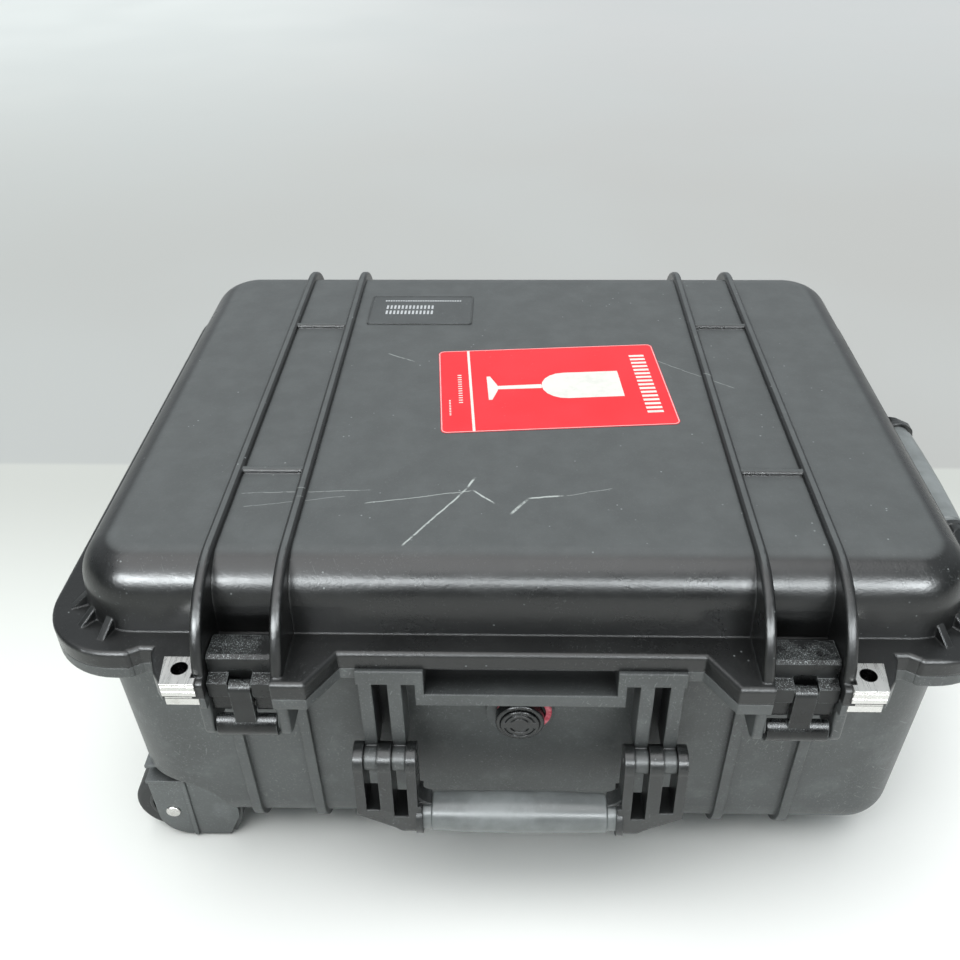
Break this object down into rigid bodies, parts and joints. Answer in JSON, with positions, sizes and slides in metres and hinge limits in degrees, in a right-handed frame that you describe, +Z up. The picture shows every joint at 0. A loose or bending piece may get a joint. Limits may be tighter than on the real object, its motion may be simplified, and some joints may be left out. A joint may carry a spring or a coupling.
{
  "type": "hard equipment case",
  "caption": "Wheeled hard case with hinged lid, double-throw latches, folding carry handles, purge valve and a pull-out trolley handle.",
  "frame": {"origin": "on the floor under the lid's centre, on the bottom face of the middle skid rail", "axes": "+X from the wheels to the trolley grip, +Y from the latches to the hinges, +Z up"},
  "size_m": [0.5867, 0.4543, 0.265],
  "materials": {
    "base_plastic": "moulded, fine texture, scuffed",
    "lid_plastic": "moulded, fine texture, scuffed",
    "gasket_rubber": "soft",
    "plate_plastic": "printed plate",
    "label_vinyl": "printed vinyl",
    "stainless_steel": "stamped, worn",
    "bearing_steel": "ground",
    "latch_plastic": "glass-filled, speckled",
    "handle_plastic": "satin",
    "grip_rubber": "satin",
    "seal_rubber": "satin",
    "valve_plastic": "semi-gloss",
    "wheel_tyre": "worn",
    "hub_plastic": "satin",
    "housing_plastic": "satin",
    "tube_aluminium": "anodised",
    "trolley_plastic": "satin"
  },
  "bodies": {
    "base": {"base_shell": "base_plastic", "front_handle_pin_left": "stainless_steel", "front_handle_pin_right": "stainless_steel", "hinge_pin_left": "stainless_steel", "hinge_pin_right": "stainless_steel", "latch_left_swing_pin": "stainless_steel", "latch_right_swing_pin": "stainless_steel", "padlock_plate_base_left": "stainless_steel", "padlock_plate_base_right": "stainless_steel", "purge_valve_body": "valve_plastic", "purge_valve_nut": "valve_plastic", "purge_valve_seal_ring": "seal_rubber", "side_handle_pin_back": "stainless_steel", "side_handle_pin_front": "stainless_steel", "trolley_end_bracket": "trolley_plastic", "trolley_outer_tube_back": "tube_aluminium", "trolley_outer_tube_front": "tube_aluminium", "trolley_screws": "stainless_steel", "trolley_tube_clamp": "trolley_plastic", "wheel_back_axle": "stainless_steel", "wheel_back_housing": "housing_plastic", "wheel_front_axle": "stainless_steel", "wheel_front_housing": "housing_plastic", "wheel_housing_screws": "stainless_steel"},
    "lid": {"lid_shell": "lid_plastic", "lid_gasket": "gasket_rubber", "nameplate": "plate_plastic", "handling_label": "label_vinyl", "padlock_plate_lid_left": "stainless_steel", "padlock_plate_lid_right": "stainless_steel"},
    "left_claw": {"latch_left_claw": "latch_plastic", "latch_left_lever_pin": "stainless_steel"},
    "left_lever": {"latch_left_lever": "latch_plastic"},
    "right_claw": {"latch_right_claw": "latch_plastic", "latch_right_lever_pin": "stainless_steel"},
    "right_lever": {"latch_right_lever": "latch_plastic"},
    "front_handle": {"front_handle_frame": "handle_plastic", "front_handle_grip": "grip_rubber"},
    "side_handle": {"side_handle_frame": "handle_plastic", "side_handle_grip": "grip_rubber"},
    "purge_knob": {"purge_valve_knob": "valve_plastic"},
    "front_wheel": {"wheel_front_tyre": "wheel_tyre", "wheel_front_hub": "hub_plastic", "wheel_front_bearings": "bearing_steel"},
    "back_wheel": {"wheel_back_tyre": "wheel_tyre", "wheel_back_hub": "hub_plastic", "wheel_back_bearings": "bearing_steel"},
    "trolley": {"trolley_grip": "trolley_plastic", "trolley_inner_tube_front": "tube_aluminium", "trolley_inner_tube_back": "tube_aluminium"},
    "trolley_release": {"trolley_button": "trolley_plastic", "trolley_push_rods": "stainless_steel"}
  },
  "joints": [
    {"name": "lid_hinge", "type": "hinge", "parent": "base", "child": "lid", "pos_m": [0, 0.213, 0.206], "axis": [-1, 0, 0], "range_deg": [0, 100]},
    {"name": "left_claw_swing", "type": "hinge", "parent": "base", "child": "left_claw", "pos_m": [-0.154, -0.2215, 0.19], "axis": [1, 0, 0], "range_deg": [0, 95]},
    {"name": "left_lever_pull", "type": "hinge", "parent": "left_claw", "child": "left_lever", "pos_m": [-0.154, -0.2255, 0.207], "axis": [-1, 0, 0], "range_deg": [0, 95]},
    {"name": "right_claw_swing", "type": "hinge", "parent": "base", "child": "right_claw", "pos_m": [0.154, -0.2215, 0.19], "axis": [1, 0, 0], "range_deg": [0, 95]},
    {"name": "right_lever_pull", "type": "hinge", "parent": "right_claw", "child": "right_lever", "pos_m": [0.154, -0.2255, 0.207], "axis": [-1, 0, 0], "range_deg": [0, 95]},
    {"name": "front_handle_swing", "type": "hinge", "parent": "base", "child": "front_handle", "pos_m": [0, -0.217, 0.136], "axis": [-1, 0, 0], "range_deg": [0, 161]},
    {"name": "side_handle_swing", "type": "hinge", "parent": "base", "child": "side_handle", "pos_m": [0.28, 0, 0.136], "axis": [0, 1, 0], "range_deg": [0, 155]},
    {"name": "purge_knob_turn", "type": "hinge", "parent": "base", "child": "purge_knob", "pos_m": [0, -0.201, 0.151], "axis": [0, -1, 0], "range_deg": [0, 180]},
    {"name": "front_wheel_spin", "type": "hinge", "parent": "base", "child": "front_wheel", "pos_m": [-0.239, -0.164, 0.028], "axis": [0, 1, 0], "continuous": true},
    {"name": "back_wheel_spin", "type": "hinge", "parent": "base", "child": "back_wheel", "pos_m": [-0.239, 0.164, 0.028], "axis": [0, 1, 0], "continuous": true},
    {"name": "trolley_slide", "type": "slide", "parent": "base", "child": "trolley", "axis": [1, 0, 0], "range_m": [0, 0.35]},
    {"name": "trolley_release_press", "type": "slide", "parent": "trolley", "child": "trolley_release", "axis": [-1, 0, 0], "range_m": [0, 0.002], "stiffness_N_per_m": 800}
  ]
}
